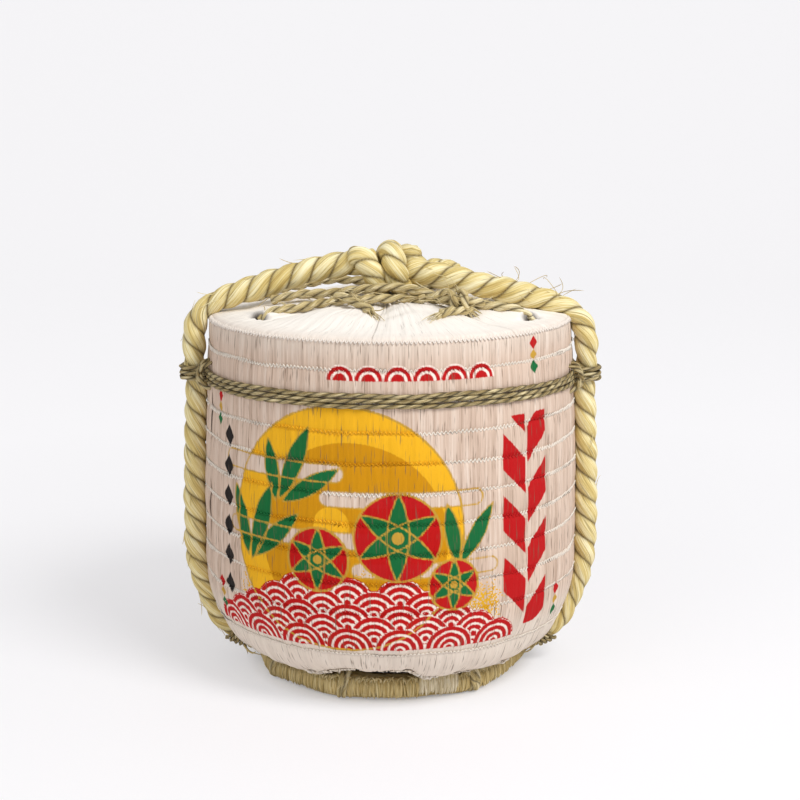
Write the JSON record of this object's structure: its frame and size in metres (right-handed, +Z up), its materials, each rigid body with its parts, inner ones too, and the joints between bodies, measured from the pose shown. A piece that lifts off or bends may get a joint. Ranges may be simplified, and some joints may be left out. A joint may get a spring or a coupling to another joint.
{
  "type": "straw-wrapped sake barrel",
  "caption": "Coopered wooden sake barrel wrapped in a stitched straw mat, bound with cords and a knotted straw rope over a folded straw top.",
  "frame": {"origin": "on the floor, under the middle of the foot ring", "axes": "+Z up, -Y to the printed front, +X to the right as seen from the front"},
  "size_m": [0.219, 0.1946, 0.2231],
  "materials": {
    "cedar": "planed, unfinished",
    "dowel_cedar": "turned, unfinished",
    "bung_wood": "turned, unfinished",
    "bamboo": "split and plaited",
    "packing_straw": "loose rice straw",
    "mat_straw": "stitched straw, printed in front",
    "flap_straw": "bleached straw",
    "foot_straw": "cut straw in bundles",
    "rope_straw": "two-strand twisted straw",
    "cord_straw": "two-strand twisted straw"
  },
  "bodies": {
    "barrel": {"stave_01": "cedar", "stave_02": "cedar", "stave_03": "cedar", "stave_04": "cedar", "stave_05": "cedar", "stave_06": "cedar", "stave_07": "cedar", "stave_08": "cedar", "stave_09": "cedar", "stave_10": "cedar", "stave_11": "cedar", "stave_12": "cedar", "stave_13": "cedar", "stave_14": "cedar", "bamboo_hoop_1": "bamboo", "bamboo_hoop_2": "bamboo", "bamboo_hoop_3": "bamboo", "bamboo_hoop_4": "bamboo", "bottom_board_1": "cedar", "bottom_board_2": "cedar", "bottom_board_3": "cedar", "bottom_dowels": "dowel_cedar", "straw_packing": "packing_straw", "straw_mat": "mat_straw", "foot_straw_bundles": "foot_straw", "foot_tie_cords": "cord_straw", "band_cord": "cord_straw", "rope_tie_left": "cord_straw", "rope_tie_right": "cord_straw", "rope_lower_left": "rope_straw", "rope_lower_right": "rope_straw", "rope_lashing_left": "cord_straw", "rope_lashing_right": "cord_straw"},
    "top_rope": {"rope_upper_left": "rope_straw", "rope_upper_right": "rope_straw", "rope_knot": "rope_straw", "lacing_front": "cord_straw", "lacing_back": "cord_straw", "lacing_knot": "cord_straw"},
    "lid": {"lid_board_1": "cedar", "lid_board_2": "cedar", "lid_board_3": "cedar", "lid_dowels": "dowel_cedar"},
    "bung": {"lid_bung": "bung_wood"},
    "flap_1": {"top_flap_1": "flap_straw"},
    "flap_2": {"top_flap_2": "flap_straw"},
    "flap_3": {"top_flap_3": "flap_straw"},
    "flap_4": {"top_flap_4": "flap_straw"},
    "flap_5": {"top_flap_5": "flap_straw"},
    "flap_6": {"top_flap_6": "flap_straw"},
    "flap_7": {"top_flap_7": "flap_straw"},
    "flap_8": {"top_flap_8": "flap_straw"}
  },
  "joints": [
    {"name": "rope_lift", "type": "slide", "parent": "barrel", "child": "top_rope", "axis": [0, 0, 1], "range_m": [0, 0.24]},
    {"name": "lid_lift", "type": "slide", "parent": "barrel", "child": "lid", "axis": [0, 0, 1], "range_m": [0, 0.0768]},
    {"name": "bung_pull", "type": "slide", "parent": "lid", "child": "bung", "axis": [0, 0, 1], "range_m": [0, 0.03]},
    {"name": "flap_fold_1", "type": "hinge", "parent": "barrel", "child": "flap_1", "pos_m": [0.0279, -0.08851, 0.1823], "axis": [0.9537, 0.3007, 0], "range_deg": [0, 150]},
    {"name": "flap_fold_2", "type": "hinge", "parent": "barrel", "child": "flap_2", "pos_m": [0.08231, -0.04285, 0.1823], "axis": [0.4617, 0.887, 0], "range_deg": [0, 150]},
    {"name": "flap_fold_3", "type": "hinge", "parent": "barrel", "child": "flap_3", "pos_m": [0.08851, 0.0279, 0.1823], "axis": [-0.3007, 0.9537, 0], "range_deg": [0, 150]},
    {"name": "flap_fold_4", "type": "hinge", "parent": "barrel", "child": "flap_4", "pos_m": [0.04285, 0.08231, 0.1823], "axis": [-0.887, 0.4617, 0], "range_deg": [0, 150]},
    {"name": "flap_fold_5", "type": "hinge", "parent": "barrel", "child": "flap_5", "pos_m": [-0.0279, 0.08851, 0.1823], "axis": [-0.9537, -0.3007, 0], "range_deg": [0, 150]},
    {"name": "flap_fold_6", "type": "hinge", "parent": "barrel", "child": "flap_6", "pos_m": [-0.08231, 0.04285, 0.1823], "axis": [-0.4617, -0.887, 0], "range_deg": [0, 150]},
    {"name": "flap_fold_7", "type": "hinge", "parent": "barrel", "child": "flap_7", "pos_m": [-0.08851, -0.0279, 0.1823], "axis": [0.3007, -0.9537, 0], "range_deg": [0, 150]},
    {"name": "flap_fold_8", "type": "hinge", "parent": "barrel", "child": "flap_8", "pos_m": [-0.04285, -0.08231, 0.1823], "axis": [0.887, -0.4617, 0], "range_deg": [0, 150]}
  ],
  "couplings": [
    {"joint": "lid_lift", "follows": "rope_lift", "ratio": 0.32},
    {"joint": "bung_pull", "follows": "rope_lift", "ratio": 0.125},
    {"joint": "flap_fold_1", "follows": "rope_lift", "rad_per_m": 10.903},
    {"joint": "flap_fold_2", "follows": "rope_lift", "rad_per_m": 10.903},
    {"joint": "flap_fold_3", "follows": "rope_lift", "rad_per_m": 10.903},
    {"joint": "flap_fold_4", "follows": "rope_lift", "rad_per_m": 10.903},
    {"joint": "flap_fold_5", "follows": "rope_lift", "rad_per_m": 10.903},
    {"joint": "flap_fold_6", "follows": "rope_lift", "rad_per_m": 10.903},
    {"joint": "flap_fold_7", "follows": "rope_lift", "rad_per_m": 10.903},
    {"joint": "flap_fold_8", "follows": "rope_lift", "rad_per_m": 10.903}
  ]
}
